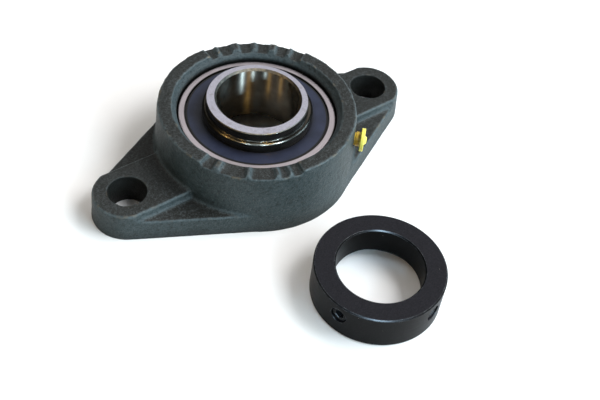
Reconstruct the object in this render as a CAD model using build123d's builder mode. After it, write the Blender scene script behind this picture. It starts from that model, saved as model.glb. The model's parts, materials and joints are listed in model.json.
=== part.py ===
from build123d import *
import math
import os

# Two-bolt flange mount bearing for a 40 mm shaft, with its eccentric locking collar laid beside it.
# Millimetres. Z is the shaft axis, and z = 0 is the face that bolts to the machine.
# X runs through the two bolt holes. The collar lies in front of the housing, towards -Y.

# how closely edges are picked out by position
NEAR_ENOUGH = 0.1

# ---- driving dimensions: housing ----
BOLT_SPACING = 144.0
BOLT_R = 8.0
BOLT_MOUTH_R = 8.9
BOLT_WALL = 8.0
FLANGE_R = 50.0
EAR_R = 17.3
FLANGE_DRAFT = 3.4
WEB_Z = 11.0
PAD_Z = 15.0
PAD_HALF_WIDTH = 16.3
PAD_STEP_RUN = 1.0
SHELF_REACH = 60.0
BODY_Z = 36.0
BODY_FOOT_R = 50.3
BODY_TOP_R = 48.3
MOUTH_R = 40.9
THROAT_R = 38.7
BACK_MOUTH_R = 41.0
SLOT_WIDTH = 18.8
SLOT_R = 40.2
ROOT_FILLET = 1.6
STEP_FILLET = 1.5
EDGE_FILLET = 1.2
RIM_FILLET = 1.0

# sunk zones of the rim, from one angle to another in degrees, and the sloping blocks left standing in
# them, each as its angle and its width at the foot
PANEL_DEPTH = 2.0
NEAR_ZONE = (-157.0, -99.0)
NEAR_BLOCKS = ((-148.0, 4.6), (-129.7, 3.6), (-113.0, 3.6), (-105.5, 3.2))
FAR_ZONE = (25.0, 90.0)
FAR_BLOCKS = ((34.0, 3.4), (45.5, 5.2), (58.0, 4.4), (70.5, 5.6), (83.0, 3.6))
BLOCK_SPAN_R = (40.4, 48.2)
BLOCK_HEIGHT = 1.9
BLOCK_DRAFT = 30.0

# ---- driving dimensions: lubrication hole and its plug ----
LUBE_ANGLE = -45.0
LUBE_Z = 24.3
LUBE_HOLE_R = 3.25
GROOVE_R = 41.2
GROOVE_Z = (22.8, 27.4)
PLUG_STEM_R = (2.8, 3.18)
PLUG_STEM_L = 6.0
PLUG_NECK_R = 3.6
PLUG_NECK_L = 2.5
PLUG_GAP = 0.3
PLUG_FLANGE_R = 5.7
PLUG_FLANGE_T = 1.9
PLUG_FLANGE_ROUND = 0.35
PLUG_TIP_R = 2.4
PLUG_TIP_L = 1.1
PLUG_TIP_DRAFT = 40.0
PLUG_BORE_R = 1.6

# ---- driving dimensions: bearing insert ----
SEAT_Z = 21.0
SEAT_R = 40.03
RING_SPHERE_R = 39.97
RING_HALF_WIDTH = 9.0
RING_CORNER = 2.0
RING_RECESS_R = 34.86
SHELL_GROOVE_R = 35.25
RING_SHOULDER_R = 33.4
RING_LUBE_HOLE_R = 1.0
RING_LUBE_HEIGHT = 5.9
PITCH_R = 30.0
BALL_R = 5.95
BALL_COUNT = 9
RACE_R = 6.15
RACE_GAP = 0.03
SHAFT_R = 20.0
INNER_Z = (10.0, 40.2)
INNER_SHOULDER_R = 26.75
SHOULDER_TOP_Z = 35.2
SHOULDER_ROUND = 1.5
BORE_CHAMFER = 1.0
BACK_CHAMFER = 0.6
CAM_R = 24.5
CAM_OFFSET = 0.95
CAM_ANGLE = 208.0
CAM_CHAMFER = 0.3

# ---- driving dimensions: seals, as heights above the ring's middle plane ----
SHELL_H = (7.05, 7.55)
SHELL_SPAN_R = (28.6, 35.2)
SHELL_GROOVE_H = (7.0, 7.6)
LIP_BEAD_R = (27.35, 28.57)
LIP_COVER_R = 34.4
LIP_H = (7.05, 7.58, 7.8)
FLINGER_H = (7.05, 8.0, 8.5)
FLINGER_R = 34.45
SLEEVE_SPAN_R = (26.78, 27.3)

# ---- driving dimensions: cage ----
CAGE_BAND_R = (28.1, 31.9)
CAGE_WALL = 0.8
CAGE_TOP_H = 6.75
POCKET_R = 6.08
RIVET_R = 0.9
RIVET_HOLE_R = 0.92
RIVET_HEAD_R = 1.6
RIVET_HEAD_H = 0.6

# ---- driving dimensions: locking collar and its set screws ----
COLLAR_AT = (-0.8, -99.2)
COLLAR_R = 30.1
COLLAR_BORE_R = 20.1
COLLAR_H = 18.3
COLLAR_CHAMFER = 0.6
RECESS_R = 24.75
RECESS_H = 4.9
SCREW_Z = 11.5
SCREW_ANGLES = (-165.0, -76.0)
SCREW_HOLE_R = 4.0
SCREW_R = 3.93
SCREW_HOLE_SPAN_R = (19.1, 31.1)
SCREW_SPAN_R = (21.0, 29.2)
SCREW_CHAMFER = 0.7
SOCKET_FLATS = 4.0
SOCKET_DEPTH = 4.0
CUP_R = 1.9
CUP_DEPTH = 1.0


def polar_point(radius, degrees):
    """The point at this radius and angle about the Z axis."""
    turn = math.radians(degrees)
    return (radius * math.cos(turn), radius * math.sin(turn))


def radial_plane(degrees, radius, height, centre=(0.0, 0.0)):
    """A plane square to the radius at this angle, distance and height, facing outwards."""
    x, y = polar_point(radius, degrees)
    outward = (*polar_point(1.0, degrees), 0)
    return Plane(origin=(centre[0] + x, centre[1] + y, height), x_dir=(0, 0, 1), z_dir=outward)


def save(piece, name):
    """Label a finished piece and write it as parts/name.step."""
    piece.part.label = name
    export_step(piece.part, f"parts/{name}.step")


os.makedirs("parts", exist_ok=True)
half_spacing = BOLT_SPACING / 2
bolt_spots = ((-half_spacing, 0), (half_spacing, 0))
middle_plane = Plane.XY.offset(SEAT_Z)

# ---- housing ----
# The flange outline is a big circle and two ear circles with their common tangents.
tangent = math.asin((FLANGE_R - EAR_R) / half_spacing)
flange_x, flange_y = FLANGE_R * math.sin(tangent), FLANGE_R * math.cos(tangent)
ear_x, ear_y = half_spacing + EAR_R * math.sin(tangent), EAR_R * math.cos(tangent)
ear_tip = half_spacing + EAR_R
pad_top_half = PAD_HALF_WIDTH - PAD_STEP_RUN
body_draft = math.degrees(math.atan((BODY_FOOT_R - BODY_TOP_R) / BODY_Z))
throat_h = math.sqrt(SEAT_R**2 - THROAT_R**2)
floor_z = BODY_Z - PANEL_DEPTH
block_middle = (BLOCK_SPAN_R[0] + BLOCK_SPAN_R[1]) / 2


def level_edges(height, reach):
    """The housing's edges that lie level at this height, farther out than this reach."""
    level = housing.edges().filter_by_position(Axis.Z, height - NEAR_ENOUGH, height + NEAR_ENOUGH)
    return level.filter_by(lambda e: math.hypot(e.center().X, e.center().Y) > reach)


with BuildPart() as housing:
    # flange, as tall as the pads
    with BuildSketch():
        with BuildLine():
            for s in (1, -1):
                Line((s * flange_x, -s * flange_y), (s * ear_x, -s * ear_y))
                ThreePointArc((s * ear_x, -s * ear_y), (s * ear_tip, 0), (s * ear_x, s * ear_y))
                Line((s * ear_x, s * ear_y), (s * flange_x, s * flange_y))
                ThreePointArc(
                    (s * flange_x, s * flange_y),
                    (0, s * FLANGE_R),
                    (-s * flange_x, s * flange_y),
                )
        make_face()
    extrude(amount=PAD_Z, taper=FLANGE_DRAFT)

    # shelves either side of each pad, one rounded step lower
    with BuildSketch(Plane.YZ):
        for s in (1, -1):
            with BuildLine():
                FilletPolyline(
                    (s * pad_top_half, PAD_Z),
                    (s * PAD_HALF_WIDTH, WEB_Z),
                    (s * SHELF_REACH, WEB_Z),
                    radius=STEP_FILLET,
                )
                Polyline((s * SHELF_REACH, WEB_Z), (s * SHELF_REACH, PAD_Z), (s * pad_top_half, PAD_Z))
            make_face()
    extrude(amount=BOLT_SPACING, both=True, mode=Mode.SUBTRACT)

    # round body with its casting draft
    with BuildSketch():
        Circle(BODY_FOOT_R)
    extrude(amount=BODY_Z, taper=body_draft)

    # rounded casting edges: pads, webs, the foot of the body, and the rim
    fillet(level_edges(PAD_Z, BODY_FOOT_R).filter_by(lambda e: e.length > EDGE_FILLET), EDGE_FILLET)
    webs = level_edges(WEB_Z, BODY_FOOT_R).filter_by(GeomType.LINE)
    fillet(webs.filter_by(Axis.X, reverse=True), EDGE_FILLET)
    body_wall = housing.faces().filter_by(GeomType.CONE).sort_by(Axis.Z)[-1]
    roots = body_wall.edges().filter_by(GeomType.LINE, reverse=True)
    fillet(roots.filter_by_position(Axis.Z, WEB_Z - NEAR_ENOUGH, PAD_Z + NEAR_ENOUGH), ROOT_FILLET)
    fillet(housing.edges().sort_by(Axis.Z)[-1], RIM_FILLET)

    # spherical seat, with a flared mouth in front and behind
    with BuildSketch(Plane.XZ):
        with BuildLine():
            Polyline(
                (THROAT_R, SEAT_Z + throat_h),
                (MOUTH_R, BODY_Z),
                (0, BODY_Z),
                (0, 0),
                (BACK_MOUTH_R, 0),
                (THROAT_R, SEAT_Z - throat_h),
            )
            ThreePointArc((THROAT_R, SEAT_Z - throat_h), (SEAT_R, SEAT_Z), (THROAT_R, SEAT_Z + throat_h))
        make_face()
    revolve(axis=Axis.Z, mode=Mode.SUBTRACT)

    # loading slot across the back of the seat, where the bearing goes in edge-on
    with BuildSketch():
        Circle(SLOT_R)
        Rectangle(2 * SLOT_R, SLOT_WIDTH, mode=Mode.INTERSECT)
    extrude(amount=SEAT_Z, mode=Mode.SUBTRACT)

    # lubrication groove round the seat, and its hole through the wall
    with BuildSketch(Plane.XZ):
        with BuildLine():
            Polyline(
                (THROAT_R, GROOVE_Z[0]),
                (GROOVE_R, GROOVE_Z[0]),
                (GROOVE_R, GROOVE_Z[1]),
                (THROAT_R, GROOVE_Z[1]),
                close=True,
            )
        make_face()
    revolve(axis=Axis.Z, mode=Mode.SUBTRACT)
    with BuildSketch(radial_plane(LUBE_ANGLE, SEAT_R, LUBE_Z)):
        Circle(LUBE_HOLE_R)
    extrude(amount=BODY_FOOT_R - SEAT_R, mode=Mode.SUBTRACT)

    # bolt holes, straight at the back and opening towards the pads
    with BuildSketch():
        with Locations(*bolt_spots):
            Circle(BOLT_R)
    extrude(amount=PAD_Z, mode=Mode.SUBTRACT)
    mouth_draft = math.degrees(math.atan((BOLT_MOUTH_R - BOLT_R) / (PAD_Z - BOLT_WALL)))
    with BuildSketch(Plane.XY.offset(BOLT_WALL)):
        with Locations(*bolt_spots):
            Circle(BOLT_R)
    extrude(amount=PAD_Z - BOLT_WALL, taper=-mouth_draft, mode=Mode.SUBTRACT)

    # sunk zones of the rim, with their blocks left standing
    for zone, blocks in ((NEAR_ZONE, NEAR_BLOCKS), (FAR_ZONE, FAR_BLOCKS)):
        middle = (zone[0] + zone[1]) / 2
        with BuildSketch(Plane.XY.offset(floor_z)):
            with BuildLine():
                Line(polar_point(THROAT_R, zone[1]), polar_point(THROAT_R, zone[0]))
                Line(polar_point(THROAT_R, zone[0]), polar_point(BODY_FOOT_R, zone[0]))
                ThreePointArc(
                    polar_point(BODY_FOOT_R, zone[0]),
                    polar_point(BODY_FOOT_R, middle),
                    polar_point(BODY_FOOT_R, zone[1]),
                )
                Line(polar_point(BODY_FOOT_R, zone[1]), polar_point(THROAT_R, zone[1]))
            make_face()
        extrude(amount=PANEL_DEPTH, mode=Mode.SUBTRACT)
        for angle, width in blocks:
            foot = (*polar_point(block_middle, angle), floor_z)
            with BuildSketch(Plane(origin=foot, x_dir=(*polar_point(1, angle), 0))):
                Rectangle(BLOCK_SPAN_R[1] - BLOCK_SPAN_R[0], width)
            extrude(amount=BLOCK_HEIGHT, taper=BLOCK_DRAFT)

save(housing, "housing")

# ---- grease plug: a tapered push-in stem with a flange and a low conical tip ----
wall_r = BODY_FOOT_R - (BODY_FOOT_R - BODY_TOP_R) * LUBE_Z / BODY_Z
plug_plane = radial_plane(LUBE_ANGLE, wall_r, LUBE_Z)

with BuildPart() as grease_plug:
    with BuildSketch(plug_plane.offset(-PLUG_STEM_L)):
        Circle(PLUG_STEM_R[0])
    with BuildSketch(plug_plane):
        Circle(PLUG_STEM_R[1])
    loft()
    with BuildSketch(plug_plane):
        Circle(PLUG_STEM_R[1])
    extrude(amount=PLUG_GAP)
    with BuildSketch(plug_plane.offset(PLUG_GAP)):
        Circle(PLUG_NECK_R)
    extrude(amount=PLUG_NECK_L - PLUG_GAP)
    with BuildSketch(plug_plane.offset(PLUG_NECK_L)):
        Circle(PLUG_FLANGE_R)
    extrude(amount=PLUG_FLANGE_T)
    rounds = grease_plug.edges().filter_by(GeomType.CIRCLE)
    flange_rims = rounds.filter_by(lambda e: e.radius > PLUG_NECK_R + NEAR_ENOUGH)
    fillet(flange_rims, PLUG_FLANGE_ROUND)
    with BuildSketch(plug_plane.offset(PLUG_NECK_L + PLUG_FLANGE_T)):
        Circle(PLUG_TIP_R)
    extrude(amount=PLUG_TIP_L, taper=PLUG_TIP_DRAFT)
    with BuildSketch(plug_plane.offset(-PLUG_STEM_L)):
        Circle(PLUG_BORE_R)
    extrude(amount=PLUG_STEM_L + PLUG_NECK_L, mode=Mode.SUBTRACT)
save(grease_plug, "grease_plug")

# ---- outer ring: the front half in section, mirrored behind, then the ball track ----
ring_corner_r = math.sqrt(RING_SPHERE_R**2 - RING_HALF_WIDTH**2)
ring_face_z = SEAT_Z + RING_HALF_WIDTH

with BuildPart() as outer_ring:
    with BuildSketch(Plane.XZ) as ring_section:
        with BuildLine():
            Polyline(
                (ring_corner_r, ring_face_z),
                (RING_RECESS_R, ring_face_z),
                (RING_RECESS_R, SEAT_Z + SHELL_GROOVE_H[1]),
                (SHELL_GROOVE_R, SEAT_Z + SHELL_GROOVE_H[1]),
                (SHELL_GROOVE_R, SEAT_Z + SHELL_GROOVE_H[0]),
                (RING_SHOULDER_R, SEAT_Z + SHELL_GROOVE_H[0]),
                (RING_SHOULDER_R, SEAT_Z),
                (RING_SPHERE_R, SEAT_Z),
            )
            RadiusArc((RING_SPHERE_R, SEAT_Z), (ring_corner_r, ring_face_z), -RING_SPHERE_R)
        make_face()
        fillet(ring_section.vertices().group_by(Axis.Y)[-1].sort_by(Axis.X)[-1], RING_CORNER)
    revolve(axis=Axis.Z)
    mirror(about=middle_plane)
    with Locations((0, 0, SEAT_Z)):
        Torus(PITCH_R + BALL_R + RACE_GAP - RACE_R, RACE_R, mode=Mode.SUBTRACT)
    with BuildSketch(radial_plane(LUBE_ANGLE, PITCH_R, SEAT_Z + RING_LUBE_HEIGHT)):
        Circle(RING_LUBE_HOLE_R)
    extrude(amount=RING_SPHERE_R - PITCH_R, mode=Mode.SUBTRACT)
save(outer_ring, "outer_ring")

# ---- inner ring: shoulder, ball track, eccentric cam at the front, bore ----
with BuildPart() as inner_ring:
    with BuildSketch(Plane.XY.offset(INNER_Z[0])):
        Circle(INNER_SHOULDER_R)
    extrude(amount=SHOULDER_TOP_Z - INNER_Z[0])
    fillet(inner_ring.edges().filter_by(GeomType.CIRCLE).sort_by(Axis.Z)[-1], SHOULDER_ROUND)
    chamfer(inner_ring.edges().filter_by(GeomType.CIRCLE).sort_by(Axis.Z)[0], BACK_CHAMFER)
    with BuildSketch(Plane.XY.offset(SHOULDER_TOP_Z)):
        with Locations(polar_point(CAM_OFFSET, CAM_ANGLE)):
            Circle(CAM_R)
    extrude(amount=INNER_Z[1] - SHOULDER_TOP_Z)
    chamfer(inner_ring.edges().sort_by(Axis.Z)[-1], CAM_CHAMFER)
    with BuildSketch(Plane.XY.offset(INNER_Z[0])):
        Circle(SHAFT_R)
    extrude(amount=INNER_Z[1] - INNER_Z[0], mode=Mode.SUBTRACT)
    rings = inner_ring.edges().filter_by(GeomType.CIRCLE)
    bore_edges = rings.filter_by(lambda e: e.radius < SHAFT_R + NEAR_ENOUGH)
    chamfer(bore_edges.sort_by(Axis.Z)[-1], BORE_CHAMFER)
    chamfer(bore_edges.sort_by(Axis.Z)[0], BACK_CHAMFER)
    with Locations((0, 0, SEAT_Z)):
        Torus(PITCH_R - BALL_R - RACE_GAP + RACE_R, RACE_R, mode=Mode.SUBTRACT)
save(inner_ring, "inner_ring")

# ---- balls ----
for n in range(BALL_COUNT):
    with BuildPart() as ball:
        with Locations((*polar_point(PITCH_R, n * 360 / BALL_COUNT), SEAT_Z)):
            Sphere(BALL_R)
    save(ball, f"ball_{n + 1}")

# ---- cage: two pressed halves joined by rivets between the balls ----
pocket_angle = 360 / BALL_COUNT

with BuildPart() as cage_front:
    with Locations((0, 0, SEAT_Z)):
        with PolarLocations(PITCH_R, BALL_COUNT):
            Sphere(POCKET_R + CAGE_WALL)
    with BuildSketch(middle_plane):
        Circle(CAGE_BAND_R[1])
        Circle(CAGE_BAND_R[0], mode=Mode.SUBTRACT)
    extrude(amount=CAGE_TOP_H, mode=Mode.INTERSECT)
    with BuildSketch(middle_plane):
        Circle(CAGE_BAND_R[1])
        Circle(CAGE_BAND_R[0], mode=Mode.SUBTRACT)
    extrude(amount=CAGE_WALL)
    with Locations((0, 0, SEAT_Z)):
        with PolarLocations(PITCH_R, BALL_COUNT):
            Sphere(POCKET_R, mode=Mode.SUBTRACT)
    with BuildSketch(middle_plane):
        with PolarLocations(PITCH_R, BALL_COUNT, start_angle=pocket_angle / 2):
            Circle(RIVET_HOLE_R)
    extrude(amount=CAGE_WALL, mode=Mode.SUBTRACT)
save(cage_front, "cage_front")

with BuildPart() as cage_back:
    add(cage_front.part.mirror(middle_plane))
save(cage_back, "cage_back")

with BuildPart() as cage_rivets:
    with BuildSketch(middle_plane.offset(-CAGE_WALL)):
        with PolarLocations(PITCH_R, BALL_COUNT, start_angle=pocket_angle / 2):
            Circle(RIVET_R)
    extrude(amount=2 * CAGE_WALL)
    for base in (CAGE_WALL, -CAGE_WALL - RIVET_HEAD_H):
        with BuildSketch(middle_plane.offset(base)):
            with PolarLocations(PITCH_R, BALL_COUNT, start_angle=pocket_angle / 2):
                Circle(RIVET_HEAD_R)
        extrude(amount=RIVET_HEAD_H)
save(cage_rivets, "cage_rivets")

# ---- seals and flingers, the same in front and behind ----
for end, s in (("front", 1), ("back", -1)):
    with BuildPart() as seal_shell:
        with BuildSketch(Plane.XZ):
            with BuildLine():
                Polyline(
                    (SHELL_SPAN_R[0], SEAT_Z + s * SHELL_H[0]),
                    (SHELL_SPAN_R[1], SEAT_Z + s * SHELL_H[0]),
                    (SHELL_SPAN_R[1], SEAT_Z + s * SHELL_H[1]),
                    (SHELL_SPAN_R[0], SEAT_Z + s * SHELL_H[1]),
                    close=True,
                )
            make_face()
        revolve(axis=Axis.Z)
    save(seal_shell, f"{end}_seal_shell")

    with BuildPart() as seal_lip:
        with BuildSketch(Plane.XZ):
            with BuildLine():
                Polyline(
                    (LIP_BEAD_R[0], SEAT_Z + s * LIP_H[0]),
                    (LIP_BEAD_R[1], SEAT_Z + s * LIP_H[0]),
                    (LIP_BEAD_R[1], SEAT_Z + s * LIP_H[1]),
                    (LIP_COVER_R, SEAT_Z + s * LIP_H[1]),
                    (LIP_COVER_R, SEAT_Z + s * LIP_H[2]),
                    (LIP_BEAD_R[0], SEAT_Z + s * LIP_H[2]),
                    close=True,
                )
            make_face()
        revolve(axis=Axis.Z)
    save(seal_lip, f"{end}_seal_lip")

    with BuildPart() as flinger:
        with BuildSketch(Plane.XZ):
            with BuildLine():
                Polyline(
                    (SLEEVE_SPAN_R[0], SEAT_Z + s * FLINGER_H[0]),
                    (SLEEVE_SPAN_R[1], SEAT_Z + s * FLINGER_H[0]),
                    (SLEEVE_SPAN_R[1], SEAT_Z + s * FLINGER_H[1]),
                    (FLINGER_R, SEAT_Z + s * FLINGER_H[1]),
                    (FLINGER_R, SEAT_Z + s * FLINGER_H[2]),
                    (SLEEVE_SPAN_R[0], SEAT_Z + s * FLINGER_H[2]),
                    close=True,
                )
            make_face()
        revolve(axis=Axis.Z)
    save(flinger, f"{end}_flinger")

# ---- locking collar, lying on its recessed side ----
recess_x, recess_y = polar_point(CAM_OFFSET, CAM_ANGLE)

with BuildPart() as locking_collar:
    with BuildSketch():
        with Locations(COLLAR_AT):
            Circle(COLLAR_R)
            Circle(COLLAR_BORE_R, mode=Mode.SUBTRACT)
    extrude(amount=COLLAR_H)
    chamfer(locking_collar.edges().filter_by(GeomType.CIRCLE), COLLAR_CHAMFER)
    with BuildSketch():
        with Locations((COLLAR_AT[0] + recess_x, COLLAR_AT[1] + recess_y)):
            Circle(RECESS_R)
    extrude(amount=RECESS_H, mode=Mode.SUBTRACT)
    for angle in SCREW_ANGLES:
        with BuildSketch(radial_plane(angle, SCREW_HOLE_SPAN_R[0], SCREW_Z, COLLAR_AT)):
            Circle(SCREW_HOLE_R)
        extrude(amount=SCREW_HOLE_SPAN_R[1] - SCREW_HOLE_SPAN_R[0], mode=Mode.SUBTRACT)
save(locking_collar, "locking_collar")

# ---- set screws, with a hexagon socket outside and a cup point inside ----
for n, angle in enumerate(SCREW_ANGLES):
    tip_plane = radial_plane(angle, SCREW_SPAN_R[0], SCREW_Z, COLLAR_AT)
    head_plane = radial_plane(angle, SCREW_SPAN_R[1], SCREW_Z, COLLAR_AT)
    with BuildPart() as set_screw:
        with BuildSketch(tip_plane):
            Circle(SCREW_R)
        extrude(amount=SCREW_SPAN_R[1] - SCREW_SPAN_R[0])
        chamfer(set_screw.edges().filter_by(GeomType.CIRCLE), SCREW_CHAMFER)
        with BuildSketch(head_plane):
            RegularPolygon(SOCKET_FLATS / 2, 6, major_radius=False)
        extrude(amount=-SOCKET_DEPTH, mode=Mode.SUBTRACT)
        with BuildSketch(tip_plane):
            Circle(CUP_R)
        extrude(amount=CUP_DEPTH, taper=45, mode=Mode.SUBTRACT)
    save(set_screw, f"set_screw_{n + 1}")
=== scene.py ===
import json
import math

import bmesh
import bpy
from mathutils import Matrix, Vector, noise


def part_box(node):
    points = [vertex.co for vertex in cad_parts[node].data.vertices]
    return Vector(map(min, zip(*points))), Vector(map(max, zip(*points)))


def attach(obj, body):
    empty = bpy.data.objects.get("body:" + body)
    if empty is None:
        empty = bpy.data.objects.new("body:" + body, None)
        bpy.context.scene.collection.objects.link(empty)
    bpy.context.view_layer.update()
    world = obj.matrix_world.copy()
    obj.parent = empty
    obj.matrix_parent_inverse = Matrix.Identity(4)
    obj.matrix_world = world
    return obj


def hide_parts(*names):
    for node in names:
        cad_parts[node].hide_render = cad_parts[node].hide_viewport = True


# A two-bolt flange mount bearing and its loose locking collar on a pale bench.
# Metres, in the part's own frame: Z is the shaft axis and z = 0 is the mounting face and the bench.

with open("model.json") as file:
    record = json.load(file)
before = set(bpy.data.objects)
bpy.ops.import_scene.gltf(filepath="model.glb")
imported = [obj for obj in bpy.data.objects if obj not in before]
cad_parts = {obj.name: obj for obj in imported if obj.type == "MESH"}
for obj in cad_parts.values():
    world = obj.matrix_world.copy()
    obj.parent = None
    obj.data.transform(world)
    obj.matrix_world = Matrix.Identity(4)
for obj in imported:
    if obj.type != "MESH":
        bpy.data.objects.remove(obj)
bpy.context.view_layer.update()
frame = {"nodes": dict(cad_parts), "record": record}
nodes = frame["nodes"]

MM = 0.001

# ---- camera, at the photograph's viewing angle ----
CAMERA_AT = Vector((-214.9, -278.3, 357.5)) * MM
CAMERA_AIM = Vector((-8.4, -48.7, 18.0)) * MM
CAMERA_ROLL = math.radians(7.85)
CAMERA_LENS = 59.25  # in millimetres, like the sensor
CAMERA_SENSOR = 36
CAMERA_NEAR = 10 * MM

# ---- bench, room and lights ----
BENCH_HALF = 3.0
ROOM_COLOR = (0.5, 0.49, 0.47)
ROOM_STRENGTH = 0.12
LIGHT_AWAY = 1.6
WHITE = (0.98, 0.99, 1.0)
PALE = (1.0, 0.98, 0.95)
WARM = (1.0, 0.78, 0.5)
BLUE = (0.72, 0.9, 1.0)
SKY = (0.55, 0.78, 1.0)
GOLD = (1.0, 0.66, 0.22)

# ---- key places of the CAD parts, from the frame ----
mounts = {mount["name"]: mount["dims"] for mount in frame["record"]["mounts"]}
ring_low, ring_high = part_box("outer_ring")
ring_middle = (ring_low.z + ring_high.z) / 2
ring_radius = (ring_high.x - ring_low.x) / 2
inner_low, inner_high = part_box("inner_ring")
inner_middle = (inner_low.z + inner_high.z) / 2
collar_low, collar_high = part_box("locking_collar")
collar_centre = (collar_low + collar_high) / 2
collar_radius = (collar_high.x - collar_low.x) / 2
flinger_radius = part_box("front_flinger")[1].x
bore_radius = mounts["shaft_bore"]["r_mm"] * MM
bolt_x = mounts["mounting_bolts"]["spacing_x_mm"] / 2 * MM
bolt_radius = mounts["mounting_bolts"]["hole_r_mm"] * MM

# ---- the usual range of a noise, where one finish gives way to another, and where painted shade fades ----
NOISE_LOW, NOISE_HIGH = 0.3, 0.7
BORE_EDGE = 0.2 * MM
END_CHAMFER = 1.2 * MM
# where the painted shade down each bolt hole fades out
BOLT_SHADE = (bolt_radius + 1.2 * MM, bolt_radius + 1.7 * MM)
# where the plug's painted orange shade at its neck gives way to yellow
PLUG_NECK = (50.6 * MM, 51.6 * MM)

# ---- the casting's skin. Its lumps have a depth, a width and a place in the noise ----
SKIN_GRID = 0.68 * MM
SKIN_SMOOTHING = 4
SAME_POINT = 0.001 * MM
FOOT_LENGTH = 3 * MM
CAST_LUMPS = (0.3 * MM, 6 * MM, (3, 1, 4))
CAST_GRAIN = (0.16 * MM, 2.0 * MM, (9, 2, 6))
RIM_LUMPS = (0.45 * MM, 2.6 * MM, (5, 8, 7))
RIM_HEIGHT = (32.5 * MM, 34.5 * MM)
SEAT_KEPT = (0.6 * MM, 1.6 * MM)
MACHINED = 1  # the place of the machined foot among the casting's finishes

# ---- the set screws ----
ROUND = 60
PITCH = 1.25 * MM
RINGS_PER_PITCH = 10
SCREW_R = 3.93 * MM
SCREW_CHAMFER = 0.7 * MM
THREAD_DEPTH = 0.68 * MM
THREAD_STEEPNESS = 1.25
CUP_R = 1.9 * MM
CUP_DEPTH = 1.0 * MM
CUP_TIP_R = 0.19 * MM
SOCKET_FLATS = 4.0 * MM
SOCKET_DEPTH = 4.0 * MM
SOCKET_LEAD = 0.25 * MM

# ---- how far a face's normal has to point along Z ----
LEVEL = 0.99
SLOPING = 0.1


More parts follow.
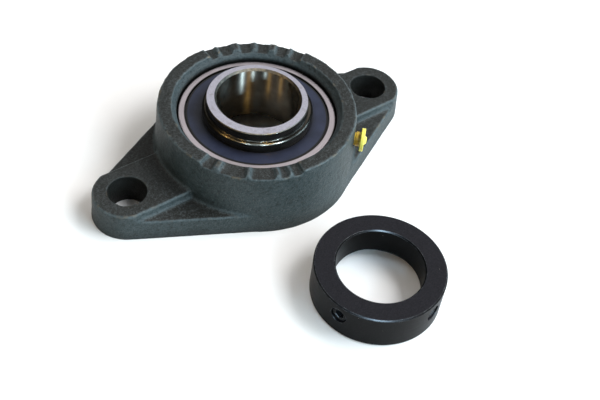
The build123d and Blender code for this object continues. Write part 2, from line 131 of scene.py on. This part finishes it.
# ---------------------------------------------------------------- materials
class Shader:
    """A Principled material with short calls for the nodes that the finishes below share."""

    def __init__(self, name, metallic=0.0, specular=0.5):
        self.material = bpy.data.materials.new(name)
        self.material.use_nodes = True
        self.tree = self.material.node_tree
        self.surface = self.tree.nodes["Principled BSDF"]
        self.set(Metallic=metallic, Specular_IOR_Level=specular)
        self.place = self.add("ShaderNodeTexCoord").outputs["Object"]

    def add(self, kind, **settings):
        node = self.tree.nodes.new(kind)
        for key, value in settings.items():
            setattr(node, key, value)
        return node

    def feed(self, source, socket):
        """Links an output, or sets a plain value, on an input socket."""
        if isinstance(source, bpy.types.NodeSocket):
            self.tree.links.new(source, socket)
        else:
            socket.default_value = source

    def set(self, **inputs):
        """Feeds Principled inputs, named with underscores for spaces, and returns the material."""
        for key, value in inputs.items():
            self.feed(value, self.surface.inputs[key.replace("_", " ")])
        return self.material

    # -- numbers and colours --

    def math(self, operation, a, b=0.0, clamp=False):
        node = self.add("ShaderNodeMath", operation=operation, use_clamp=clamp)
        self.feed(a, node.inputs[0])
        self.feed(b, node.inputs[1])
        return node.outputs[0]

    def ramp(self, value, low, high, start=0.0, end=1.0):
        """value from low to high mapped to start to end, and held beyond."""
        node = self.add("ShaderNodeMapRange", clamp=True)
        self.feed(value, node.inputs["Value"])
        node.inputs["From Min"].default_value = low
        node.inputs["From Max"].default_value = high
        node.inputs["To Min"].default_value = start
        node.inputs["To Max"].default_value = end
        return node.outputs["Result"]

    def spread(self, pattern, start=0.0, end=1.0):
        """The middle of a noise pattern's range mapped to start to end, and held beyond."""
        return self.ramp(pattern, NOISE_LOW, NOISE_HIGH, start, end)

    def mix(self, share, a, b):
        """Colour a, turned by share towards colour b. A colour is a socket or three numbers."""
        node = self.add("ShaderNodeMix", data_type="RGBA")
        self.feed(share, node.inputs["Factor"])
        for color, socket in ((a, node.inputs[6]), (b, node.inputs[7])):
            self.feed(color if isinstance(color, bpy.types.NodeSocket) else (*color, 1), socket)
        return node.outputs[2]

    def tint(self, color, share, strength, target):
        """A colour, turned towards target by share times strength."""
        return self.mix(self.math("MULTIPLY", share, strength), color, target)

    # -- patterns --

    def noise(self, size, detail=2.0, roughness=0.5, place=None):
        """Noise with features about this many metres across, from 0 to 1."""
        node = self.add("ShaderNodeTexNoise")
        self.feed(place or self.place, node.inputs["Vector"])
        node.inputs["Scale"].default_value = 1 / size
        node.inputs["Detail"].default_value = detail
        node.inputs["Roughness"].default_value = roughness
        return node.outputs["Fac"]

    def cells(self, size):
        """Distance to the nearest of scattered points about this many metres apart."""
        node = self.add("ShaderNodeTexVoronoi")
        self.feed(self.place, node.inputs["Vector"])
        node.inputs["Scale"].default_value = 1 / size
        return node.outputs["Distance"]

    def turned(self, radial_size, turn_size, height_size=1.0, centre=(0, 0), detail=3):
        """Noise drawn out along circles about an upright axis, like the marks of turning or grinding."""
        shift = self.add("ShaderNodeVectorMath", operation="SUBTRACT")
        self.feed(self.place, shift.inputs[0])
        shift.inputs[1].default_value = (centre[0], centre[1], 0)
        x, y, z = (self.axis(name, shift.outputs[0]) for name in "XYZ")
        turn = self.math("ARCTAN2", y, x)
        join = self.add("ShaderNodeCombineXYZ")
        self.feed(self.math("MULTIPLY", self.distance(x, y), 1 / radial_size), join.inputs[0])
        self.feed(self.math("MULTIPLY", turn, 1 / turn_size), join.inputs[1])
        self.feed(self.math("MULTIPLY", z, 1 / height_size), join.inputs[2])
        return self.noise(1.0, detail=detail, place=join.outputs[0])

    # -- places --

    def axis(self, name, source=None):
        """One coordinate of the place, or of another vector."""
        node = self.add("ShaderNodeSeparateXYZ")
        self.feed(source or self.place, node.inputs[0])
        return node.outputs[name]

    def distance(self, x, y):
        """How far x and y go together."""
        squares = [self.math("MULTIPLY", way, way) for way in (x, y)]
        return self.math("SQRT", self.math("ADD", *squares))

    def off_axis(self):
        """Distance from the shaft axis."""
        return self.distance(self.axis("X"), self.axis("Y"))

    def up(self):
        """How far the surface faces up, from -1 to 1, before any bump."""
        return self.axis("Z", self.add("ShaderNodeNewGeometry").outputs["True Normal"])

    def pointed(self, low, high):
        """1 on the mesh's outward edges, 0 on its flats and hollows."""
        return self.ramp(self.add("ShaderNodeNewGeometry").outputs["Pointiness"], low, high)

    def recess(self, reach):
        """1 in the open, down to 0 deep in holes and corners within this reach."""
        node = self.add("ShaderNodeAmbientOcclusion", samples=8)
        node.inputs["Distance"].default_value = reach
        return node.outputs["AO"]

    def edges(self, radius, gain):
        """1 along edges within this radius, 0 elsewhere."""
        node = self.add("ShaderNodeVectorMath", operation="DOT_PRODUCT")
        self.feed(self.rounded(radius), node.inputs[0])
        self.feed(self.add("ShaderNodeNewGeometry").outputs["True Normal"], node.inputs[1])
        return self.math("MULTIPLY", self.math("SUBTRACT", 1.0, node.outputs["Value"]), gain, clamp=True)

    # -- normals --

    def bump(self, height, distance, over=None):
        node = self.add("ShaderNodeBump")
        self.feed(height, node.inputs["Height"])
        node.inputs["Distance"].default_value = distance
        if over is not None:
            self.feed(over, node.inputs["Normal"])
        return node.outputs["Normal"]

    def rounded(self, radius):
        """The surface's normal with its edges rounded to this radius."""
        node = self.add("ShaderNodeBevel", samples=6)
        node.inputs["Radius"].default_value = radius
        return node.outputs["Normal"]


def paint_tones_and_shading(s):
    """Blue-grey paint, with painted shade making the level tops darker and browner than the lit sides,
    and a painted sheen lightening the slopes beside them.
    """
    patches = s.ramp(s.noise(16 * MM, detail=3), 0.35, 0.65)
    side = s.mix(patches, (0.0185, 0.0315, 0.0335), (0.028, 0.044, 0.0475))
    # Painted shade: the level tops get a darker copy of the paint than the sides.
    top = s.mix(patches, (0.011, 0.0112, 0.0098), (0.0165, 0.0172, 0.016))
    up = s.up()
    flat_top = s.ramp(up, 0.75, 0.95)
    # Painted sheen: the slopes beside the tops are lightened.
    slope_sheen = s.math("MULTIPLY", s.ramp(up, 0.15, 0.5), s.math("SUBTRACT", 1.0, flat_top))
    return s.tint(s.mix(flat_top, side, top), slope_sheen, 0.42, (0.075, 0.1, 0.112))


def paint_specks(s, color, sand):
    """Light and dark specks at two sizes."""
    mottle = s.noise(1.5 * MM, detail=2)
    color = s.mix(s.ramp(mottle, 0.5, 0.66, 0.0, 0.25), color, (0.06, 0.07, 0.072))
    color = s.mix(s.ramp(mottle, 0.46, 0.32, 0.0, 0.5), color, (0.006, 0.007, 0.006))
    color = s.mix(s.ramp(sand, 0.52, 0.72, 0.0, 0.7), color, (0.08, 0.092, 0.094))
    return s.mix(s.ramp(sand, 0.45, 0.28, 0.0, 0.8), color, (0.004, 0.006, 0.006))


def paint_wear_and_highlight(s, color, lumps):
    """Edges lighter, partly from worn paint and partly as a painted highlight, and rusty here and there.
    """
    # The pale edges are a lighter copy of the paint: wear, with a painted highlight on top of it.
    worn = s.math("MULTIPLY", s.pointed(0.512, 0.57), s.ramp(lumps, 0.35, 0.6, 0.25, 0.9))
    color = s.mix(worn, color, (0.13, 0.17, 0.185))
    rust = s.math("MULTIPLY", s.pointed(0.51, 0.55), s.ramp(s.noise(5 * MM, detail=4), 0.55, 0.66))
    return s.tint(color, rust, 0.6, (0.15, 0.105, 0.05))


def paint_shade_in_hollows(s, color):
    """Painted shade in the hollows and down the bolt holes."""
    painted_shade = (0.004, 0.004, 0.003)
    color = s.mix(s.ramp(s.recess(14 * MM), 0.3, 0.78, 0.92, 0.0), color, painted_shade)
    # Painted shade down each bolt hole, fading out past its mouth.
    from_bolt = s.distance(s.math("SUBTRACT", s.math("ABSOLUTE", s.axis("X")), bolt_x), s.axis("Y"))
    return s.mix(s.ramp(from_bolt, *BOLT_SHADE, 0.92, 0.0), color, painted_shade)


def painted_casting():
    """Dark blue-grey paint over sand-cast iron with rusty tints; its edges are lighter, partly worn and
    partly a painted highlight, with painted shade on its tops, hollows and bolt holes and a painted sheen
    on its slopes.
    """
    s = Shader("painted_casting", specular=0.25)
    sand = s.noise(0.7 * MM, detail=3, roughness=0.65)
    lumps = s.noise(2.6 * MM, detail=3)
    color = paint_specks(s, paint_tones_and_shading(s), sand)
    color = paint_shade_in_hollows(s, paint_wear_and_highlight(s, color, lumps))
    height = s.math("ADD", s.math("MULTIPLY", sand, 0.6), s.math("MULTIPLY", lumps, 0.4))
    return s.set(Base_Color=color, Roughness=s.spread(sand, 0.4, 0.6), Normal=s.bump(height, 0.5 * MM))


def machined_foot():
    """Bare cast iron of the machined mounting face, with the arcs of a wide cutter."""
    s = Shader("machined_foot", metallic=1.0)
    arcs = s.turned(0.4 * MM, 0.3, centre=(0, 0.2))
    stain = s.noise(9 * MM, detail=4)
    color = s.mix(s.spread(arcs), (0.19, 0.185, 0.18), (0.3, 0.29, 0.28))
    color = s.mix(s.ramp(stain, 0.55, 0.7, 0.0, 0.5), color, (0.1, 0.085, 0.07))
    return s.set(Base_Color=color, Roughness=s.spread(arcs, 0.4, 0.55), Normal=s.bump(arcs, 0.02 * MM))


def ground_steel():
    """Pinkish-grey steel ground in circles on its flat face, dark outside it, and dark along the face's
    inner edge by painted shade from the gap beside the flinger.
    """
    s = Shader("ground_steel", metallic=1.0)
    lines = s.turned(0.12 * MM, 0.35, 0.12 * MM)
    fine = s.noise(0.35 * MM, detail=2)
    # Painted shade: the face's inner edge next to the flinger is dark.
    past_edge = s.ramp(s.off_axis(), flinger_radius + 0.7 * MM, flinger_radius + 0.95 * MM)
    face = s.math("MULTIPLY", s.ramp(s.up(), 0.95, 0.99), past_edge)
    ground = s.mix(s.spread(lines), (0.31, 0.275, 0.29), (0.44, 0.395, 0.41))
    color = s.mix(face, (0.03, 0.028, 0.026), ground)
    return s.set(Base_Color=color, Roughness=s.spread(fine, 0.32, 0.46), Normal=s.bump(lines, 0.01 * MM))


def polished_steel():
    """Dark polished steel of the cam and the shoulder."""
    s = Shader("polished_steel", metallic=1.0)
    lines = s.turned(0.1 * MM, 0.3, 0.1 * MM)
    smear = s.noise(6 * MM, detail=3)
    color = s.mix(s.spread(smear), (0.034, 0.03, 0.024), (0.062, 0.056, 0.046))
    normal = s.bump(lines, 0.002 * MM, over=s.rounded(0.8 * MM))
    return s.set(Base_Color=color, Roughness=s.spread(lines, 0.22, 0.3), Normal=normal)


def honed_bore():
    """Dark honed steel, with its gloss drawn out along the shaft axis by fine marks that run round it,
    and painted shade darkening it towards its lower, back end.
    """
    s = Shader("honed_bore", metallic=1.0)
    tangent = s.add("ShaderNodeTangent", direction_type="RADIAL", axis="Z").outputs[0]
    s.set(Anisotropic=1.0, Anisotropic_Rotation=0.25, Tangent=tangent)
    smear = s.noise(5 * MM, detail=3)
    lines = s.turned(0.5 * MM, 0.8, 0.12 * MM, detail=2)
    color = s.mix(s.spread(smear), (0.15, 0.13, 0.1), (0.24, 0.215, 0.175))
    # Painted shade: the bore darkens the deeper it goes into the ring.
    depth = s.ramp(s.axis("Z"), inner_low.z, inner_middle, 0.9, 0.1)
    color = s.mix(depth, color, (0.03, 0.026, 0.02))
    return s.set(Base_Color=color, Roughness=s.spread(lines, 0.23, 0.26))


def ground_face():
    """Pinkish-grey end face of the inner ring, ground in circles."""
    s = Shader("ground_face", metallic=1.0)
    lines = s.turned(0.12 * MM, 0.35, 0.12 * MM)
    fine = s.noise(0.5 * MM, detail=3)
    stain = s.noise(3 * MM, detail=4)
    color = s.mix(s.spread(fine), (0.35, 0.34, 0.39), (0.49, 0.475, 0.54))
    color = s.mix(s.ramp(stain, 0.58, 0.66, 0.0, 0.35), color, (0.2, 0.17, 0.16))
    return s.set(Base_Color=color, Roughness=s.spread(lines, 0.34, 0.46), Normal=s.bump(lines, 0.01 * MM))


def dulled_edge():
    """Dull brownish steel on the edges of the inner ring's front end."""
    s = Shader("dulled_edge", metallic=1.0)
    cloud = s.noise(1.5 * MM, detail=3)
    grain = s.noise(0.4 * MM)
    color = s.mix(s.ramp(cloud, 0.35, 0.65), (0.035, 0.032, 0.028), (0.08, 0.07, 0.055))
    return s.set(Base_Color=color, Roughness=s.spread(grain, 0.45, 0.6))


def coated_flinger():
    """Navy-black coating on the flat flinger disc, with painted shade darkening it next to the shoulder
    and blacking out its rim.
    """
    s = Shader("coated_flinger", specular=0.3)
    lines = s.turned(0.3 * MM, 0.6, 0.3 * MM)
    cloud = s.noise(7 * MM, detail=3)
    at_rim = s.ramp(s.off_axis(), flinger_radius - 0.95 * MM, flinger_radius - 0.65 * MM)
    color = s.mix(s.ramp(cloud, 0.35, 0.65), (0.0135, 0.018, 0.04), (0.022, 0.028, 0.06))
    # Painted shade where the disc meets the inner ring's shoulder.
    color = s.mix(s.ramp(s.recess(9 * MM), 0.5, 0.95, 0.85, 0.0), color, (0.003, 0.003, 0.004))
    # Painted shade: the disc's rim is black, so the gap beside the outer ring reads dark.
    color = s.mix(at_rim, color, (0.002, 0.002, 0.002))
    normal = s.bump(lines, 0.02 * MM, over=s.rounded(0.2 * MM))
    return s.set(Base_Color=color, Roughness=s.spread(lines, 0.42, 0.55), Normal=normal)


def black_oxide():
    """Black-oxided steel, satin, with bright worn edges and a few specks."""
    s = Shader("black_oxide", specular=0.06)
    lines = s.turned(0.2 * MM, 0.25, 0.2 * MM, centre=collar_centre)
    grain = s.spread(s.noise(0.5 * MM, detail=3))
    # Painted shade blacks out the collar's inside; its side is dark, and its top a little lighter.
    away = [s.math("SUBTRACT", s.axis(name), middle) for name, middle in zip("XY", collar_centre)]
    inside = s.ramp(s.distance(*away), 0.85 * collar_radius, 0.8 * collar_radius)
    side = s.mix(grain, (0.003, 0.003, 0.003), (0.009, 0.0085, 0.009))
    side = s.mix(inside, side, (0.001, 0.001, 0.0008))
    top = s.mix(grain, (0.009, 0.009, 0.011), (0.019, 0.0185, 0.023))
    color = s.mix(s.ramp(s.up(), 0.7, 0.95), side, top)
    rubbed = s.ramp(s.noise(2 * MM, detail=3), 0.42, 0.6, 0.2, 1.0)
    worn = s.math("MULTIPLY", s.edges(0.4 * MM, 9.0), rubbed)
    color = s.tint(color, worn, 0.85, (0.2, 0.22, 0.24))
    speck = s.math("MULTIPLY", s.ramp(s.cells(4 * MM), 0.05, 0.03), s.ramp(s.noise(9 * MM), 0.5, 0.55))
    color = s.tint(color, speck, 0.8, (0.3, 0.28, 0.26))
    normal = s.bump(lines, 0.012 * MM, over=s.rounded(0.5 * MM))
    return s.set(Base_Color=color, Roughness=s.spread(lines, 0.3, 0.44), Normal=normal)


def plain_steel(name, color, roughness):
    """Plain steel, with a faint tumbled grain."""
    s = Shader(name, metallic=1.0)
    grain = s.noise(0.6 * MM, detail=3)
    shade = s.mix(s.spread(grain), tuple(0.85 * c for c in color), color)
    return s.set(Base_Color=shade, Roughness=s.spread(grain, roughness, roughness + 0.1))


def seal_rubber():
    """Black nitrile rubber with a dull bloom."""
    s = Shader("seal_rubber")
    bloom = s.ramp(s.noise(3 * MM, detail=4), 0.4, 0.7)
    return s.set(Base_Color=s.mix(bloom, (0.015, 0.015, 0.017), (0.035, 0.035, 0.038)), Roughness=0.7)


def plug_plastic():
    """Soft yellow plastic, painted a deeper orange at its neck close to the casting, standing in for the
    shade and the glow through the thick plastic there.
    """
    s = Shader("plug_plastic")
    s.set(Roughness=0.45, Subsurface_Weight=0.25, Subsurface_Radius=(2 * MM, 1.2 * MM, 0.3 * MM))
    cloud = s.noise(1.5 * MM, detail=2)
    yellow = s.mix(cloud, (0.78, 0.66, 0.07), (0.82, 0.76, 0.16))
    # Painted shade and translucency: the neck by the casting is orange.
    color = s.mix(s.ramp(s.off_axis(), *PLUG_NECK), (0.78, 0.5, 0.03), yellow)
    return s.set(Base_Color=color, Normal=s.bump(cloud, 0.05 * MM, over=s.rounded(0.25 * MM)))


def bench_paper():
    """Matt white paper, faintly cloudy."""
    s = Shader("bench_paper", specular=0.1)
    cloud = s.noise(8 * MM, detail=3)
    return s.set(Base_Color=s.mix(cloud, (0.89, 0.89, 0.89), (0.92, 0.92, 0.92)), Roughness=0.9)


# ---------------------------------------------------------------- pieces
def link(name, data):
    """A new object in the scene with this mesh, light or camera."""
    thing = bpy.data.objects.new(name, data)
    bpy.context.scene.collection.objects.link(thing)
    return thing


def smoothly(low, high, value):
    """0 up to low, 1 from high, and a smooth turn between."""
    share = min(max((value - low) / (high - low), 0.0), 1.0)
    return share * share * (3 - 2 * share)


def lumpiness(place, depth, width, shift):
    """Lumps of this depth and about this width: two octaves of smooth noise, from 0 to depth."""
    spot = place / width + Vector(shift)
    return depth * (0.5 + 0.35 * noise.noise(spot) + 0.15 * noise.noise(2 * spot))


def lengthen_foot(mesh):
    """Carries the mounting face down, so that the skin is still square where it is cut off at z = 0."""
    work = bmesh.new()
    work.from_mesh(mesh)
    bmesh.ops.remove_doubles(work, verts=work.verts, dist=SAME_POINT)
    downward = [face for face in work.faces if face.normal.z < -LEVEL]
    foot = [face for face in downward if face.calc_center_median().z < SAME_POINT]
    made = bmesh.ops.extrude_face_region(work, geom=foot)
    bmesh.ops.delete(work, geom=foot, context="FACES_ONLY")
    lowered = [item for item in made["geom"] if isinstance(item, bmesh.types.BMVert)]
    bmesh.ops.translate(work, verts=lowered, vec=(0, 0, -FOOT_LENGTH))
    work.to_mesh(mesh)
    work.free()


def soft_skin(thing):
    """Gives a piece one even skin with soft edges."""
    remesh = thing.modifiers.new("skin", "REMESH")
    remesh.mode = "VOXEL"
    remesh.voxel_size = SKIN_GRID
    soften = thing.modifiers.new("soften", "SMOOTH")
    soften.iterations = SKIN_SMOOTHING
    mesh = bpy.data.meshes.new_from_object(thing.evaluated_get(bpy.context.evaluated_depsgraph_get()))
    thing.modifiers.clear()
    thing.data = mesh


def cast_depth(place):
    """How deep the skin sinks here: most on the rim, and not at all by the bearing's seat."""
    from_seat = Vector((place.x, place.y, place.z - ring_middle)).length - ring_radius
    on_rim = smoothly(*RIM_HEIGHT, place.z)
    depth = lumpiness(place, *CAST_LUMPS) + lumpiness(place, *CAST_GRAIN)
    depth += on_rim * lumpiness(place, *RIM_LUMPS)
    return depth * smoothly(*SEAT_KEPT, from_seat)


def roughen(mesh):
    """Sinks the skin by its cast lumps, and keeps it within the housing's own box above the foot."""
    low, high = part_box("housing")
    low.z = -FOOT_LENGTH
    sunk = [vertex.co - vertex.normal * cast_depth(vertex.co) for vertex in mesh.vertices]
    for vertex, place in zip(mesh.vertices, sunk):
        vertex.co = [min(max(c, a), b) for c, a, b in zip(place, low, high)]


def trim_foot(mesh):
    """Cuts the skin off at z = 0 and closes it with a flat mounting face of machined iron."""
    work = bmesh.new()
    work.from_mesh(mesh)
    for face in work.faces:
        face.smooth = True
    everything = work.verts[:] + work.edges[:] + work.faces[:]
    cut = bmesh.ops.bisect_plane(
        work, geom=everything, plane_co=(0, 0, 0), plane_no=(0, 0, 1), clear_inner=True
    )
    outline = [item for item in cut["geom_cut"] if isinstance(item, bmesh.types.BMEdge)]
    made = bmesh.ops.triangle_fill(work, edges=outline, use_beauty=True)
    for face in made["geom"]:
        if isinstance(face, bmesh.types.BMFace):
            face.smooth = False
            face.material_index = MACHINED
    bmesh.ops.recalc_face_normals(work, faces=work.faces)
    work.to_mesh(mesh)
    work.free()


def casting():
    """The housing with the lumpy skin, soft edges and ragged rim marks of a sand casting."""
    rough = link("housing_casting", nodes["housing"].data.copy())
    lengthen_foot(rough.data)
    soft_skin(rough)
    roughen(rough.data)
    rough.data.materials.clear()
    for finish in (finishes["painted_casting"], machined_foot()):
        rough.data.materials.append(finish)
    trim_foot(rough.data)
    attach(rough, "housing")
    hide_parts("housing")


def inner_ring():
    """The inner ring, with finishes of their own on the bore, the front face and the front edges."""
    thing = link("inner_ring_finished", nodes["inner_ring"].data.copy())
    polished, bore, front, edge = range(4)
    thing.data.materials.clear()
    for finish in (finishes["polished_steel"], honed_bore(), ground_face(), dulled_edge()):
        thing.data.materials.append(finish)
    for face in thing.data.polygons:
        at_front = face.center.z > inner_high.z - END_CHAMFER
        if at_front and face.normal.z > LEVEL:
            face.material_index = front
        elif at_front and face.normal.z > SLOPING:
            face.material_index = edge
        elif math.hypot(face.center.x, face.center.y) < bore_radius + BORE_EDGE:
            face.material_index = bore
        else:
            face.material_index = polished
    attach(thing, "inner")
    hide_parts("inner_ring")
    return thing


def ring_stack(name, rings):
    """A closed mesh through rings of points round a local Z. A ring is a height and a radius by turn."""
    points = []
    for height, reach in rings:
        for step in range(ROUND):
            turn = 2 * math.pi * step / ROUND
            points.append((reach(turn) * math.cos(turn), reach(turn) * math.sin(turn), height))
    last = (len(rings) - 1) * ROUND
    faces = []
    for ring in range(0, last, ROUND):
        for step in range(ROUND):
            after = (step + 1) % ROUND
            faces.append((ring + step, ring + after, ring + ROUND + after, ring + ROUND + step))
    faces.append(tuple(reversed(range(ROUND))))
    faces.append(tuple(range(last, last + ROUND)))
    mesh = bpy.data.meshes.new(name)
    mesh.from_pydata(points, [], faces)
    return mesh


def even(radius):
    """The same radius all round."""
    return lambda turn: radius


def hexagon(flats):
    """The radius of a hexagon with this size across its flats."""
    sixth = math.pi / 3
    return lambda turn: flats / 2 / math.cos((turn + sixth / 2) % sixth - sixth / 2)


def thread(height, length):
    """The radius by turn of a screw thread at this height, with a chamfer at both ends."""

    def reach(turn):
        phase = (height / PITCH - turn / (2 * math.pi)) % 1.0
        flank = min(abs(phase - 0.5) * 2 * THREAD_STEEPNESS, 1.0)
        from_end = min(height, length - height)
        return min(SCREW_R - THREAD_DEPTH * flank, SCREW_R - SCREW_CHAMFER + from_end)

    return reach


def screw_rings(length):
    """The rings of a set screw, from the bottom of its cup point to the bottom of its hexagon socket."""
    end, socket = even(SCREW_R - SCREW_CHAMFER), hexagon(SOCKET_FLATS)
    steps = int(length / (PITCH / RINGS_PER_PITCH))
    heights = [length * n / steps for n in range(1, steps)]
    return [
        (CUP_DEPTH, even(CUP_TIP_R)),
        (0.0, even(CUP_R)),
        (0.0, end),
        *((height, thread(height, length)) for height in heights),
        (length, end),
        (length, lambda turn: socket(turn) + SOCKET_LEAD),
        (length - SOCKET_LEAD, socket),
        (length - SOCKET_DEPTH, socket),
        (length - SOCKET_DEPTH - SOCKET_LEAD, even(SOCKET_LEAD)),
    ]


def set_screw(node, body):
    """A threaded set screw with a cup point and a hexagon socket, in the place of the CAD screw."""
    low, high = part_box(node)
    centre = (low + high) / 2
    outward = Vector((centre.x - collar_centre.x, centre.y - collar_centre.y, 0)).normalized()
    along = [(vertex.co - collar_centre).dot(outward) for vertex in nodes[node].data.vertices]
    mesh = ring_stack(f"{node}_threaded", screw_rings(max(along) - min(along)))
    base = Vector((collar_centre.x, collar_centre.y, centre.z)) + outward * min(along)
    mesh.transform(Matrix.Translation(base) @ outward.to_track_quat("Z", "Y").to_matrix().to_4x4())
    mesh.materials.append(finishes["black_oxide"])
    thing = link(f"{node}_threaded", mesh)
    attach(thing, body)
    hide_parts(node)
    return thing


# ---------------------------------------------------------------- bench, lights and camera
def bench():
    """A wide, flat, pale bench top."""
    mesh = bpy.data.meshes.new("bench")
    corners = [(-BENCH_HALF, -BENCH_HALF, 0), (BENCH_HALF, -BENCH_HALF, 0)]
    corners += [(BENCH_HALF, BENCH_HALF, 0), (-BENCH_HALF, BENCH_HALF, 0)]
    mesh.from_pydata(corners, [], [(0, 1, 2, 3)])
    mesh.materials.append(bench_paper())
    floor = link("bench", mesh)


def area_light(name, heading, height, size, watts, color):
    """A rectangular light at a heading and a height in degrees, facing the part."""
    turn, rise = math.radians(heading), math.radians(height)
    level = Vector((math.cos(turn), math.sin(turn), 0)) * math.cos(rise)
    at = LIGHT_AWAY * (level + Vector((0, 0, math.sin(rise))))
    light = bpy.data.lights.new(name, "AREA")
    light.shape = "RECTANGLE"
    light.size, light.size_y = size
    light.energy = watts
    light.color = color
    thing = link(name, light)
    thing.matrix_world = Matrix.Translation(at) @ (-at).to_track_quat("-Z", "Y").to_matrix().to_4x4()
    return thing


def light_only(thing, receivers, state):
    """Makes a light reach only the receivers, or all but them. With none it reaches everything."""
    if not receivers:
        return
    group = bpy.data.collections.new(f"{thing.name}_lights")
    for n, receiver in enumerate(receivers):
        group.objects.link(receiver)
        group.collection_objects[n].light_linking.link_state = state
    thing.light_linking.receiver_collection = group


def lights(ring, collar):
    """Soft panels all round, and lights that only show as gloss: on edges, and as streaks in the bore."""
    # Name, heading, height, size, watts, colour, and the pieces that it misses or reaches alone.
    panels = (
        ("right_panel", -30, 50, (1.1, 0.9), 30, WHITE, ring, "EXCLUDE"),
        ("left_panel", 130, 52, (1.1, 0.9), 5.5, PALE, ring, "EXCLUDE"),
        ("front_panel", -68, 28, (1.2, 0.8), 28, BLUE, ring + collar, "EXCLUDE"),
        ("side_panel", 185, 34, (1.1, 0.8), 3.6, WARM, ring + collar, "EXCLUDE"),
        ("back_panel", 52, 52, (1.3, 1.0), 6, WHITE, [], "EXCLUDE"),
        ("collar_panel", -68, 28, (1.2, 0.8), 8, WHITE, collar, "INCLUDE"),
    )
    glints = (
        ("edge_light", 240, 42, (0.3, 0.4), 5, SKY, [], "INCLUDE"),
        ("collar_edge_light", 240, 42, (0.3, 0.4), 360, SKY, collar, "INCLUDE"),
        ("strip_1", 330, 22, (0.9, 0.45), 22, SKY, ring, "INCLUDE"),
        ("strip_2", 277, 18, (0.1, 0.3), 115, SKY, ring, "INCLUDE"),
        ("strip_3", 250, 10, (0.04, 0.18), 42, SKY, ring, "INCLUDE"),
        ("strip_4", 220, 8, (0.015, 0.14), 28, SKY, ring, "INCLUDE"),
        ("strip_5", 262, 38, (0.008, 0.7), 30, GOLD, ring, "INCLUDE"),
        ("strip_6", 209, 22, (0.01, 0.35), 14, GOLD, ring, "INCLUDE"),
        ("strip_7", 177, 22, (0.01, 0.35), 14, GOLD, ring, "INCLUDE"),
    )
    for *settings, receivers, state in panels:
        light_only(area_light(*settings), receivers, state)
    for *settings, receivers, state in glints:
        glint = area_light(*settings)
        glint.visible_diffuse = False
        light_only(glint, receivers, state)


def room():
    """A dim grey room all round, and plain colours on the screen."""
    world = bpy.data.worlds.new("room")
    world.use_nodes = True
    background = world.node_tree.nodes["Background"]
    background.inputs["Color"].default_value = (*ROOM_COLOR, 1)
    background.inputs["Strength"].default_value = ROOM_STRENGTH
    bpy.context.scene.world = world
    bpy.context.scene.view_settings.view_transform = "Standard"


def camera():
    """The camera, at the photograph's viewing angle."""
    lens = bpy.data.cameras.new("camera")
    lens.lens = CAMERA_LENS
    lens.sensor_width = CAMERA_SENSOR
    lens.clip_start = CAMERA_NEAR
    thing = link("camera", lens)
    look = (CAMERA_AIM - CAMERA_AT).to_track_quat("-Z", "Y").to_matrix().to_4x4()
    thing.matrix_world = Matrix.Translation(CAMERA_AT) @ look @ Matrix.Rotation(CAMERA_ROLL, 4, "Z")
    bpy.context.scene.camera = thing


# ---------------------------------------------------------------- the scene
finishes = {
    "painted_casting": painted_casting(),
    "ground_steel": ground_steel(),
    "polished_steel": polished_steel(),
    "coated_flinger": coated_flinger(),
    "black_oxide": black_oxide(),
    "ball_steel": plain_steel("ball_steel", (0.75, 0.75, 0.76), 0.08),
    "cage_steel": plain_steel("cage_steel", (0.55, 0.54, 0.52), 0.3),
    # The seal's steel shell is darkened as painted shade, so the gap beside the flinger reads black.
    "seal_steel": plain_steel("seal_steel", (0.07, 0.07, 0.075), 0.45),
    "seal_rubber": seal_rubber(),
    "plug_plastic": plug_plastic(),
}
# Every CAD piece gets the finish of its material slot. Finer pieces then stand in for four of them.
for entry in frame["record"]["subparts"]:
    mesh = nodes[entry["node"]].data
    mesh.materials.clear()
    mesh.materials.append(finishes[entry["material_slot"]])

casting()
finished_ring = inner_ring()
screws = [set_screw("set_screw_1", "screw_1"), set_screw("set_screw_2", "screw_2")]
bench()
lights([finished_ring], [nodes["locking_collar"], *screws])
room()
camera()
